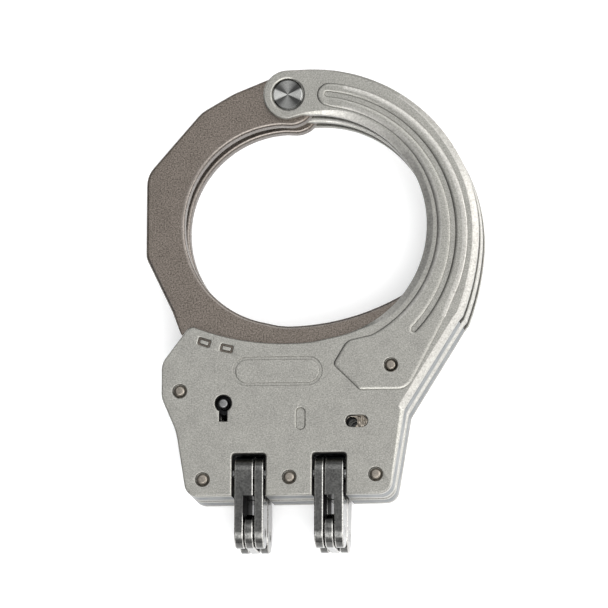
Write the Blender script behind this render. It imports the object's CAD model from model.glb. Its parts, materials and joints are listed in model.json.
import json
import math

import bmesh
import bpy
from mathutils import Matrix, Quaternion, Vector


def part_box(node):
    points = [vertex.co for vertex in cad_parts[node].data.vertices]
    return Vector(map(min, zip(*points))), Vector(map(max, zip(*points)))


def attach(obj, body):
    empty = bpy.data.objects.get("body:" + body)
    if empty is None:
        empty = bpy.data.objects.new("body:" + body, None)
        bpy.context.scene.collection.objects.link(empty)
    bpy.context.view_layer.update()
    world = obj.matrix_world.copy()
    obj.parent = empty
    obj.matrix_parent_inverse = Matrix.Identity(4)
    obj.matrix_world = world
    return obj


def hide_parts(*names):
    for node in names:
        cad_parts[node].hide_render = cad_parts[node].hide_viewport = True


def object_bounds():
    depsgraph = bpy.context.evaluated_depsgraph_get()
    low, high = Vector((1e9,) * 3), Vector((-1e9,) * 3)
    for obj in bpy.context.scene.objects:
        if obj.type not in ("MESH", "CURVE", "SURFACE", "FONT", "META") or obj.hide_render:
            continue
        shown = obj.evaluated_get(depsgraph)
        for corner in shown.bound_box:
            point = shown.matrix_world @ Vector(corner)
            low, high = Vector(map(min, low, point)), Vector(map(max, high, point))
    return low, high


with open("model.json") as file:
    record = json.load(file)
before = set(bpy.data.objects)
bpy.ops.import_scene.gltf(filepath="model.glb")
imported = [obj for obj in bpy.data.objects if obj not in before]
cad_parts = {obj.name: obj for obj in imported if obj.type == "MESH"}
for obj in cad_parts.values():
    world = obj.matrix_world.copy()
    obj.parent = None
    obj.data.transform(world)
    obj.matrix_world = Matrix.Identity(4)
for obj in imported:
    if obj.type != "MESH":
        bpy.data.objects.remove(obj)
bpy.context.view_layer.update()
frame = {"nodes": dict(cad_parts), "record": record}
record = frame["record"]
nodes = frame["nodes"]
slots = {s["node"]: s["material_slot"] for s in record["subparts"]}
body_of = {n: b for b, names in record["behaviour"]["bodies"].items() for n in names}
MM = 0.001


# ---------- places seen from above, which both cuffs share ----------
def middle(node):
    """The middle of a CAD node, seen from above."""
    lowest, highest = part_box(node)
    return Vector(((lowest + highest) / 2)[:2])


def from_pivot(x, y):
    """A place given in mm from the middle of the pivot rivets."""
    return Vector((pivot.x + x * MM, pivot.y + y * MM))


pivot = middle("lower_pivot_rivet")
keyhole = middle("lower_key_post")
bar_hole = from_pivot(16.62, -84.87)
# Middles of three arcs: the strand's outer edge, the slot in its ridge, and the bow's inner edge
strand_centre = from_pivot(5.9, -36.8)
slot_centre = from_pivot(6.2, -36.4)
ring_centre = from_pivot(-1, -33.45)


# ---------- shader nodes ----------
MIX_A, MIX_B, MIX_RESULT = 6, 7, 2  # the colour sockets of a mix node, whose names repeat


class Graph:
    """The shader nodes of a material or of the world, with short ways to add and link them."""

    def __init__(self, owner, shader, coordinate):
        owner.use_nodes = True
        self.owner = owner
        self.tree = owner.node_tree
        self.shader = self.tree.nodes[shader]
        self.coord = self.add("ShaderNodeTexCoord").outputs[coordinate]

    def add(self, kind, **values):
        node = self.tree.nodes.new(kind)
        for key, value in values.items():
            setattr(node, key, value)
        return node

    def plug(self, value, socket):
        """Links an output to a socket, or sets the socket to a number, a colour or a direction."""
        if isinstance(value, bpy.types.NodeSocket):
            self.tree.links.new(value, socket)
        else:
            socket.default_value = (*value, 1) if socket.type == "RGBA" else value

    def shade(self, **values):
        """Plugs values into the shader's own sockets. An underscore stands for a space."""
        for name, value in values.items():
            self.plug(value, self.shader.inputs[name.replace("_", " ")])

    def noise(self, scale, detail, rough=0.6):
        node = self.add("ShaderNodeTexNoise")
        self.plug(scale, node.inputs["Scale"])
        self.plug(detail, node.inputs["Detail"])
        self.plug(rough, node.inputs["Roughness"])
        self.plug(self.coord, node.inputs["Vector"])
        return node.outputs["Fac"]

    def spread(self, source, low, high, start=0.35, end=0.65):
        """Source from start to end becomes low to high."""
        node = self.add("ShaderNodeMapRange")
        self.plug(start, node.inputs["From Min"])
        self.plug(end, node.inputs["From Max"])
        self.plug(low, node.inputs["To Min"])
        self.plug(high, node.inputs["To Max"])
        self.plug(source, node.inputs["Value"])
        return node.outputs["Result"]

    def mix(self, factor, a, b):
        node = self.add("ShaderNodeMix", data_type="RGBA")
        self.plug(factor, node.inputs["Factor"])
        self.plug(a, node.inputs[MIX_A])
        self.plug(b, node.inputs[MIX_B])
        return node.outputs[MIX_RESULT]

    def bump(self, source, strength, distance):
        node = self.add("ShaderNodeBump")
        self.plug(strength, node.inputs["Strength"])
        self.plug(distance, node.inputs["Distance"])
        self.plug(source, node.inputs["Height"])
        return node.outputs["Normal"]

    def math(self, operation, *values):
        node = self.add("ShaderNodeMath", operation=operation)
        for value, socket in zip(values, node.inputs):
            self.plug(value, socket)
        return node.outputs["Value"]

    def vector(self, operation, *values):
        node = self.add("ShaderNodeVectorMath", operation=operation)
        for value, socket in zip(values, node.inputs):
            self.plug(value, socket)
        return node.outputs["Value" if operation in ("LENGTH", "DOT_PRODUCT") else "Vector"]

    def parts(self, vector):
        node = self.add("ShaderNodeSeparateXYZ")
        self.plug(vector, node.inputs["Vector"])
        return [node.outputs[axis] for axis in "XYZ"]

    def colour_ramp(self, source, stops, tint=(1, 1, 1), interpolation="LINEAR"):
        """Source from 0 to 1 becomes the levels of the stops, the first at 0 and the last at 1."""
        node = self.add("ShaderNodeValToRGB")
        node.color_ramp.interpolation = interpolation
        elements = node.color_ramp.elements
        for place, level in stops:
            # a new ramp has a stop at 0 and one at 1
            stop = elements[-place] if place in (0, 1) else elements.new(place)
            stop.color = (*(level * share for share in tint), 1)
        self.plug(source, node.inputs["Fac"])
        return node.outputs["Color"]


# ---------- metals ----------
GRAIN_DEPTH = 0.04 * MM
SPECK_SHARE = 0.6  # how much of the colour comes from the specks, the rest from the blotches
GLOSS_SWING = 0.04


def metal_graph(name, dark, light, rough, grain, speck, grain_bump, blotch=260):
    """Satin metal: specks and a fine grain in the surface, and slow blotches in colour and gloss.
    grain and blotch are noise scales, and speck is how far the specks leave the two colours."""
    g = Graph(bpy.data.materials.new(name), "Principled BSDF", "Object")
    fine = g.noise(grain, detail=2, rough=0.75)
    slow = g.noise(blotch, detail=5, rough=0.65)
    blotches = g.mix(g.spread(slow, 0, 1), dark, light)
    darker = tuple(c * (1 - speck) for c in dark)
    lighter = tuple(min(1, c * (1 + 1.2 * speck)) for c in light)
    specks = g.mix(g.spread(fine, 0, 1, start=0.3, end=0.7), darker, lighter)
    g.shade(
        Base_Color=g.mix(SPECK_SHARE, blotches, specks),
        Roughness=g.spread(slow, rough - GLOSS_SWING, rough + GLOSS_SWING),
        Metallic=1,
        Normal=g.bump(fine, grain_bump, GRAIN_DEPTH),
    )
    return g


def metal(name, **looks):
    return metal_graph(name, **looks).owner


CHEEK = metal("cheek_steel", dark=(0.243, 0.236, 0.218), light=(0.28, 0.275, 0.252),
              rough=0.36, grain=2900, speck=0.45, grain_bump=0.7)
CHEEK_EDGE = metal("cheek_edge", dark=(0.302, 0.293, 0.274), light=(0.358, 0.349, 0.325),
                   rough=0.32, grain=2200, speck=0.35, grain_bump=0.4)
BODY = metal("lock_body_steel", dark=(0.05, 0.0603, 0.067), light=(0.0639, 0.0734, 0.0806),
             rough=0.34, grain=2200, speck=0.12, grain_bump=0.2)
INSIDE = metal("lock_inside", dark=(0.012, 0.012, 0.013), light=(0.025, 0.025, 0.026),
               rough=0.5, grain=2200, speck=0.3, grain_bump=0.3)
BOW = metal("bow_steel", dark=(0.109, 0.093, 0.0794), light=(0.143, 0.123, 0.107),
            rough=0.38, grain=2700, speck=0.9, grain_bump=0.8)
BOW_EDGE = metal("bow_edge", dark=(0.14, 0.122, 0.11), light=(0.173, 0.155, 0.14),
                 rough=0.28, grain=2200, speck=0.4, grain_bump=0.3)
RIVET = metal("rivet_steel", dark=(0.167, 0.148, 0.127), light=(0.248, 0.223, 0.192),
              rough=0.3, grain=2800, speck=0.35, grain_bump=0.4)
PIN = metal("pin_steel", dark=(0.14, 0.14, 0.14), light=(0.178, 0.178, 0.178),
            rough=0.28, grain=2800, speck=0.15, grain_bump=0.2)
HINGE = metal("hinge_steel", dark=(0.058, 0.058, 0.0561), light=(0.102, 0.101, 0.0968),
              rough=0.15, grain=2200, speck=0.5, grain_bump=0.2)
HINGE_EDGE = metal("hinge_edge", dark=(0.256, 0.249, 0.238), light=(0.452, 0.445, 0.425),
                   rough=0.26, grain=2800, speck=0.3, grain_bump=0.3, blotch=700)
SPRING = metal("spring_steel", dark=(0.20, 0.22, 0.27), light=(0.30, 0.32, 0.36),
               rough=0.28, grain=2200, speck=0.15, grain_bump=0.2)


def ribbed_steel():
    """The lock parts: uneven slanting ribs over the grain's colours."""
    g = metal_graph("lock_part_steel", dark=(0.221, 0.192, 0.156), light=(0.338, 0.302, 0.26),
                    rough=0.3, grain=2200, speck=0.4, grain_bump=0.4)
    ribs = g.add("ShaderNodeTexWave", bands_direction="DIAGONAL")
    g.plug(g.coord, ribs.inputs["Vector"])
    g.plug(420, ribs.inputs["Scale"])
    g.plug(1.5, ribs.inputs["Distortion"])
    g.shade(Normal=g.bump(ribs.outputs["Fac"], 0.8, 0.1 * MM))
    return g.owner


def turned_steel():
    """The pivot's heads: a lathe leaves bright and dark wedges round the middle, over fine rings."""
    ring_pitch = 0.3 * MM
    ring_depth = 0.03 * MM
    # how bright each heading is, from along X at 0 to along Y at 1
    tones = ((0, 0.40), (0.34, 0.36), (0.47, 0.045), (0.72, 0.05), (1, 0.17))
    g = metal_graph("pivot_steel", dark=(0.3, 0.3, 0.29), light=(0.36, 0.36, 0.35),
                    rough=0.26, grain=2800, speck=0.12, grain_bump=0.1)
    level = g.vector("MULTIPLY", g.vector("SUBTRACT", g.coord, (*pivot, 0)), (1, 1, 0))
    towards_y = g.math("ABSOLUTE", g.parts(g.vector("NORMALIZE", level))[1])
    turns = g.math("MULTIPLY", g.vector("LENGTH", level), 2 * math.pi / ring_pitch)
    g.shade(
        Base_Color=g.colour_ramp(towards_y, tones, tint=(1, 1, 0.97)),
        Normal=g.bump(g.math("SINE", turns), 0.35, ring_depth),
        Tangent=g.add("ShaderNodeTangent", direction_type="RADIAL", axis="Z").outputs["Tangent"],
        Anisotropic=0.7,
    )
    return g.owner


LOCK = ribbed_steel()
PIVOT = turned_steel()
BY_SLOT = {
    "cheek_steel": CHEEK, "lock_body_steel": BODY, "bow_steel": BOW, "pivot_steel": PIVOT,
    "rivet_steel": RIVET, "pin_steel": PIN, "hinge_steel": HINGE, "lock_part_steel": LOCK,
    "spring_steel": SPRING,
}


# ---------- cutting the rims of a mesh ----------
ORDER = {"z": (0, 1, 2), "x": (1, 2, 0)}  # the order of axes that brings each of these to Z
FLAT = 0.999  # a face whose normal has this much of an axis lies across it
LEVELS_PER_METRE = 1e5
TINY = 0.001 * MM
STRIPS = 5  # faces across one cut
SHARPEST = 0.35  # limits how far a cut reaches in at a sharp corner
SHARP_ANGLE = 34  # degrees between faces from which an edge stays sharp
ROUND = 1


def turned(bm, order):
    """Swaps the axes of a mesh."""
    for v in bm.verts:
        v.co = Vector([v.co[i] for i in order])
    bm.normal_update()


def profile(inset, drop, soft):
    """Across one cut, from the wall to the face: how far in and how far down each point is."""
    if soft:
        angles = [i * math.pi / (2 * STRIPS) for i in range(STRIPS + 1)]
        return [(inset * (1 - math.cos(a)), drop * (1 - math.sin(a))) for a in angles]
    ease = min(0.09 * MM, drop * 0.3)
    return [
        (0, drop + ease),
        (0.3 * ease, drop - 0.3 * ease),
        (inset / 3, drop * 2 / 3),
        (inset * 2 / 3, drop / 3),
        (inset - 0.3 * ease, 0.3 * ease),
        (inset + ease, 0),
    ]


def flat_levels(bm):
    """The faces across Z, listed by their height and by the way they face, 1 for up and -1 for down."""
    levels = {}
    for face in bm.faces:
        if abs(face.normal.z) > FLAT:
            height = round(face.calc_center_median().z * LEVELS_PER_METRE)
            levels.setdefault((height, 1 if face.normal.z > 0 else -1), []).append(face)
    return levels


def rims_of(level, side):
    """The rim edges of a level, each with the way out of the level and the height of the wall that
    drops from it, or 0 where the wall rises."""
    inside = set(level)
    rims = {}
    for face in level:
        for edge in face.edges:
            walls = [other for other in edge.link_faces if other not in inside]
            if len(edge.link_faces) != 2 or len(walls) != 1:
                continue
            start, end = (v.co for v in edge.verts)
            along = (end - start).normalized()
            out = Vector((along.y, -along.x, 0))
            if out.dot(face.calc_center_median() - start) > 0:
                out = -out
            heights = [v.co.z for v in walls[0].verts]
            drops = min((z - start.z) * side for z in heights) < -TINY
            rims[edge] = (out, max(heights) - min(heights) if drops else 0)
    return rims


def edges_at(edges):
    """Which of the edges meet at each vertex."""
    near = {}
    for edge in edges:
        for v in edge.verts:
            near.setdefault(v, []).append(edge)
    return near


def loop_sizes(near, edges):
    """For each edge, the larger of the extents in X and Y of the loop that it belongs to."""
    sizes = {}
    for first in edges:
        if first in sizes:
            continue
        todo, loop = [first], set()
        while todo:
            edge = todo.pop()
            if edge not in loop:
                loop.add(edge)
                for v in edge.verts:
                    todo += near[v]
        places = [v.co for edge in loop for v in edge.verts]
        extents = [max(p[axis] for p in places) - min(p[axis] for p in places) for axis in (0, 1)]
        for edge in loop:
            sizes[edge] = max(extents)
    return sizes


def cut_points(bm, vert, edges, rims, cuts, side):
    """The points across the cut where rim edges meet, from the wall to the face."""
    if len(edges) != 2 or not all(cuts[edge].length for edge in edges):
        return [vert] * (STRIPS + 1)
    inset, drop, soft = (cuts[edges[0]] + cuts[edges[1]]) / 2
    out, other_out = (rims[edge][0] for edge in edges)
    inwards = -(out + other_out) / max(SHARPEST, 1 + out.dot(other_out))
    corner = vert.co.copy()
    places = [corner + inwards * i - Vector((0, 0, side * d)) for i, d in profile(inset, drop, soft > 0)]
    vert.co = places[0]
    return [vert] + [bm.verts.new(place) for place in places[1:]]


def cut_faces(bm, edge, points, material):
    """The faces of the cut along one rim edge. Returns the edge where they meet the level."""
    a, b = edge.verts
    for k in range(STRIPS):
        corners = dict.fromkeys((points[a][k], points[a][k + 1], points[b][k + 1], points[b][k]))
        if len(corners) > 2:
            bm.faces.new(list(corners)).material_index = material
    pair = (points[a][STRIPS], points[b][STRIPS])
    return bm.edges.get(pair) or bm.edges.new(pair)


def chamfer(bm, widths, edge_from):
    """Cuts the rims of every face across Z. widths(middle, wall height, side, loop size) is in mm:
    one width, or how far the cut goes in and down and, with ROUND as a third value, as a quarter
    ellipse. Cuts wider than edge_from get the second material."""
    for (_, side), level in flat_levels(bm).items():
        rims = rims_of(level, side)
        near = edges_at(rims)
        sizes = loop_sizes(near, rims)
        cuts = {}
        for edge, (_, height) in rims.items():
            mid = (edge.verts[0].co + edge.verts[1].co) / 2
            width = widths(mid, height / MM, side, sizes[edge] / MM) if height else 0
            steps = width if isinstance(width, tuple) else (width, width)
            cuts[edge] = Vector((*steps, 0)[:3]) * MM
        if not any(cut.length for cut in cuts.values()):
            continue
        points = {v: cut_points(bm, v, edges, rims, cuts, side) for v, edges in near.items()}
        bmesh.ops.delete(bm, geom=level, context="FACES_ONLY")
        inner = [cut_faces(bm, edge, points, 1 if cuts[edge][0] > edge_from * MM else 0) for edge in rims]
        bmesh.ops.triangle_fill(bm, use_beauty=True, use_dissolve=False, edges=inner, normal=(0, 0, side))


def welded(mesh):
    """A CAD mesh with its doubled vertices joined. A face that can't be made, such as one that's
    there twice, is left out."""
    bm = bmesh.new()
    verts = [bm.verts.new(v.co) for v in mesh.vertices]
    for p in mesh.polygons:
        try:
            bm.faces.new([verts[i] for i in p.vertices])
        except ValueError:
            pass
    bmesh.ops.remove_doubles(bm, verts=bm.verts, dist=2 * TINY)
    return bm


def piece(node, widths, main, edge, axis="z", edge_from=0.3):
    """Stands in for a CAD node, with the rims of its faces across one axis cut."""
    bm = welded(nodes[node].data)
    order = ORDER[axis]
    turned(bm, order)
    bmesh.ops.recalc_face_normals(bm, faces=bm.faces)
    chamfer(bm, widths, edge_from)
    turned(bm, [order.index(i) for i in range(3)])
    bmesh.ops.recalc_face_normals(bm, faces=bm.faces)
    me = bpy.data.meshes.new(node + "_look")
    bm.to_mesh(me)
    bm.free()
    me.polygons.foreach_set("use_smooth", [True] * len(me.polygons))
    me.set_sharp_from_angle(angle=math.radians(SHARP_ANGLE))
    me.materials.append(main)
    me.materials.append(edge)
    obj = bpy.data.objects.new(node + "_look", me)
    bpy.context.collection.objects.link(obj)
    shading = obj.modifiers.new("flat", "WEIGHTED_NORMAL")
    shading.keep_sharp = True
    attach(obj, body_of[node])
    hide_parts(node)
    return obj


# ---------- how wide the cuts are, in mm ----------
def same(width):
    """One cut for every rim."""
    return lambda mid, height, side, loop: width


def grown(narrow, growth, share):
    """A cut that has grown by a share of its growth."""
    return tuple(n + g * share for n, g in zip(narrow, growth))


def ridge_width(place):
    """The raised ridge and its panel: rounded, and narrower where two rims are close."""
    slot_radius = 36.5
    x, y = (place - pivot) / MM
    in_slot = abs((place - slot_centre).length / MM - slot_radius) < 1
    near_pivot = x < 14 and y > -10
    on_strand = y > -58
    if in_slot:
        inset = 0.5 if near_pivot else 0.9
    elif near_pivot:
        inset = 0.8
    else:
        inset = 1.3 if on_strand else 0.9
    return (inset, 0.4, ROUND)


def outline_width(place):
    """The plate's outline: slopes along the strand, wide in its middle and narrow at its ends."""
    strand_middle = 41.5
    # degrees round the strand's middle: where the slopes start and end, and over how many they widen
    start, end, outer_end = -62, 95, 86
    widens, narrows, outer_narrows = 16, 20, 50
    arm = place - strand_centre
    angle = math.degrees(math.atan2(arm.y, arm.x))
    if not start < angle < end:
        return 0.3
    if arm.length > strand_middle * MM:
        share = min(1, max(0, (outer_end - angle) / outer_narrows))
        return grown((0.35, 0.35), (1.15, 0.5), share)
    share = min(1, (end - angle) / narrows, (angle - start) / widens)
    return grown((0.3, 0.3), (1.4, 0.15), share)


def cheek_widths(outer_side):
    """Rims of a cheek plate, told apart by how high their walls are."""
    def widths(mid, height, side, loop):
        place = Vector((mid.x, mid.y))
        if side != outer_side:
            return 0.12
        if height < 0.4:  # the oval
            return 0.13
        if height < 0.47:
            return ridge_width(place)
        if height < 1:  # the rivet sinks, and the pressed marks with their bars
            return 0.25
        if height < 2:  # the sink of the pivot's head, and the bores under all the sinks
            return (0.35, 0.2)
        if loop < 30:  # the keyhole and the double-lock slot
            return 0.2
        return outline_width(place)
    return widths


def bow_widths(mid, height, side, loop):
    """Rims of a bow: rounded, but narrow at the teeth and at the pivot's hole."""
    # the inner edge follows one arc round ring_centre and, past it, one round the pivot
    ring_radius = 27
    band_inside, band_outside, teeth_from = 59, 60.5, 66
    place = Vector((mid.x, mid.y))
    from_ring = (place - ring_centre).length / MM
    reach = (place - pivot).length / MM
    if loop < 10:
        return 0.1
    if reach > teeth_from:
        return 0.12
    inner_edge = from_ring < ring_radius or band_inside < reach < band_outside
    width = 0.85 if inner_edge else 0.75
    return (width, width, ROUND)


# ---------- pieces: CAD nodes again, with their rims cut ----------
MAIN, EDGE, THIRD = 0, 1, 2  # a piece's materials
FACING = 0.9  # a face whose normal has this much of a direction looks that way


def paint(obj, material, chosen):
    """Gives the faces that are chosen another of the piece's materials."""
    for face in obj.data.polygons:
        if chosen(face):
            face.material_index = material


def within(place, radius):
    """Chooses the faces within a radius in mm of a place, seen from above."""
    return lambda face: (Vector(face.center[:2]) - place).length < radius * MM


def cheek(side, name):
    """A cheek plate. The floors of the two short marks beside the bow are as dark as the bow."""
    shallowest, deepest = 1.2, 1.4
    node = f"{side}_{name}"
    faces_up = (name == "outer_cheek") == (side == "upper")
    plate = piece(node, cheek_widths(1 if faces_up else -1), CHEEK, CHEEK_EDGE, edge_from=1)
    plate.data.materials.append(BOW)
    ridge_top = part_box(node)[1 if faces_up else 0].z

    def in_mark(face):
        sunk = abs(face.center.z - ridge_top) / MM
        beside_bow = -75 < (face.center.y - pivot.y) / MM < -20
        return shallowest < sunk < deepest and abs(face.normal.z) > FACING and beside_bow

    paint(plate, THIRD, in_mark)


def lock(side):
    """The housing with its rivets, double-lock bar and key post. What the openings show is dark."""
    behind_keyhole = within(keyhole, 7.3)
    behind_bar = within(bar_hole, 1.42)
    housing = piece(f"{side}_lock_body", same(0.15), BODY, INSIDE)
    paint(housing, EDGE, behind_keyhole)
    paint(housing, EDGE, behind_bar)
    piece(f"{side}_body_rivets", same(0.4), RIVET, RIVET)
    bar = piece(f"{side}_double_lock_bar", same(0.12), LOCK, INSIDE)
    paint(bar, EDGE, behind_bar)
    piece(f"{side}_key_post", same(0.25), PIN, PIN)


LEAF_CUT = (0.34, 0.34, ROUND)


def leaf(side, hand, kind):
    """A hinge leaf. Its sides towards the middle link and towards the other cuff are dark."""
    pair_middle = (middle(f"{side}_{hand}_cranked_leaf").x + middle(f"{side}_{hand}_plain_leaf").x) / 2
    other_cuff = 1 if side == "lower" else -1
    obj = piece(f"{side}_{hand}_{kind}_leaf", same(LEAF_CUT), HINGE, HINGE_EDGE, "x")
    obj.data.materials.append(INSIDE)

    def shaded(face):
        towards_link = face.normal.x * (pair_middle - face.center.x) > 0 and abs(face.normal.x) > FACING
        towards_cuff = face.normal.z * other_cuff > FACING
        return face.material_index == MAIN and (towards_link or towards_cuff)

    paint(obj, THIRD, shaded)
    for face in obj.data.polygons:
        face.use_smooth = abs(face.normal.z) < FLAT


for side in ("upper", "lower"):
    for name in ("outer_cheek", "inner_cheek"):
        cheek(side, name)
    piece(f"{side}_bow", bow_widths, BOW, BOW_EDGE, edge_from=0.8)
    lock(side)
    for hand in ("left", "right"):
        for kind in ("cranked", "plain"):
            leaf(side, hand, kind)
for hand in ("left", "right"):
    piece(f"{hand}_middle_link", same(LEAF_CUT), HINGE, HINGE_EDGE, "x")

# The other CAD nodes keep their own meshes and get a material.
for name, obj in nodes.items():
    if name + "_look" in bpy.data.objects:
        continue
    obj.data.materials.clear()
    obj.data.materials.append(BY_SLOT[slots[name]])


# ---------- floor ----------
def pale_floor():
    g = Graph(bpy.data.materials.new("pale_floor"), "Principled BSDF", "Object")
    g.shade(
        Base_Color=g.mix(g.spread(g.noise(6, 2), 0, 1), (0.86, 0.86, 0.86), (0.88, 0.88, 0.88)),
        Roughness=0.7,
        Emission_Color=(1, 1, 1),
        Emission_Strength=0.3,
    )
    return g.owner


low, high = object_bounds()
FLOOR_GAP = 0.3 * MM
bpy.ops.mesh.primitive_plane_add(size=6, location=(0, 0, low.z - FLOOR_GAP))
floor = bpy.context.object
floor.name = "floor"
floor.data.materials.append(pale_floor())


# ---------- light ----------
def studio():
    """Dark on the left and bright on the right, with a bright band on the far and the near side."""
    to_the_right = (0.97, -0.22, 0)
    side_levels = ((0, 0.03), (0.25, 0.2), (0.5, 1.0), (0.75, 1.8), (1, 1.9))
    # from straight up at 0 to the horizon at 1
    band_levels = ((0, 0.36), (0.17, 0.36), (0.25, 0.8), (0.46, 0.8), (0.62, 0.3), (1, 0.12))
    band_strength = 2.5
    world = bpy.data.worlds.new("studio")
    bpy.context.scene.world = world
    g = Graph(world, "Background", "Generated")
    aside = g.spread(g.vector("DOT_PRODUCT", g.coord, to_the_right), 0, 1, -1, 1)
    across = g.colour_ramp(aside, side_levels, tint=(0.99, 1, 1.01), interpolation="B_SPLINE")
    x, y, z = g.parts(g.coord)
    lean = g.math("DIVIDE", g.math("ARCTAN2", g.math("ABSOLUTE", y), z), math.pi / 2)
    bands = g.math("MULTIPLY", g.colour_ramp(lean, band_levels, interpolation="EASE"), band_strength)
    sideways = g.math("ABSOLUTE", x)
    shaped = g.math("MULTIPLY", bands, g.math("SUBTRACT", 1, sideways))
    lit = g.add("ShaderNodeVectorMath", operation="SCALE")
    g.plug(across, lit.inputs[0])
    g.plug(g.math("ADD", shaped, sideways), lit.inputs["Scale"])
    g.shade(Color=lit.outputs["Vector"], Strength=1.6)


def area(name, place, width, height, power):
    """A soft light that shines at the origin."""
    data = bpy.data.lights.new(name, "AREA")
    data.shape = "RECTANGLE"
    data.size, data.size_y = width, height
    data.energy = power
    lamp = bpy.data.objects.new(name, data)
    lamp.location = place
    lamp.rotation_mode = "QUATERNION"
    lamp.rotation_quaternion = (-Vector(place)).to_track_quat("-Z", "Y")
    bpy.context.collection.objects.link(lamp)


studio()
area("key", (1.1, 0.1, 0.45), width=1.2, height=0.7, power=6)
area("top", (0.2, -0.9, 1.5), width=1.4, height=1.4, power=11)
bpy.context.scene.view_settings.view_transform = "Standard"


# ---------- camera ----------
# It looks down on the face, from a little to the right of and below its middle.
DISTANCE = 1.77
ROLL = 0.00485
back = Vector((0.1216, -0.1654, 1)).normalized()
target = Vector((-0.00169, 0.00046, high.z))
right = Vector((0, 1, 0)).cross(back).normalized()
up = back.cross(right)
cam_data = bpy.data.cameras.new("camera")
cam = bpy.data.objects.new("camera", cam_data)
bpy.context.collection.objects.link(cam)
cam.rotation_mode = "QUATERNION"
cam.location = target + back * DISTANCE
upright = Matrix((right, up, back)).transposed().to_quaternion()
cam.rotation_quaternion = upright @ Quaternion((0, 0, 1), ROLL)
cam_data.sensor_width = 36
cam_data.lens = 410.65
cam_data.clip_start, cam_data.clip_end = 0.05, 20
bpy.context.scene.camera = cam
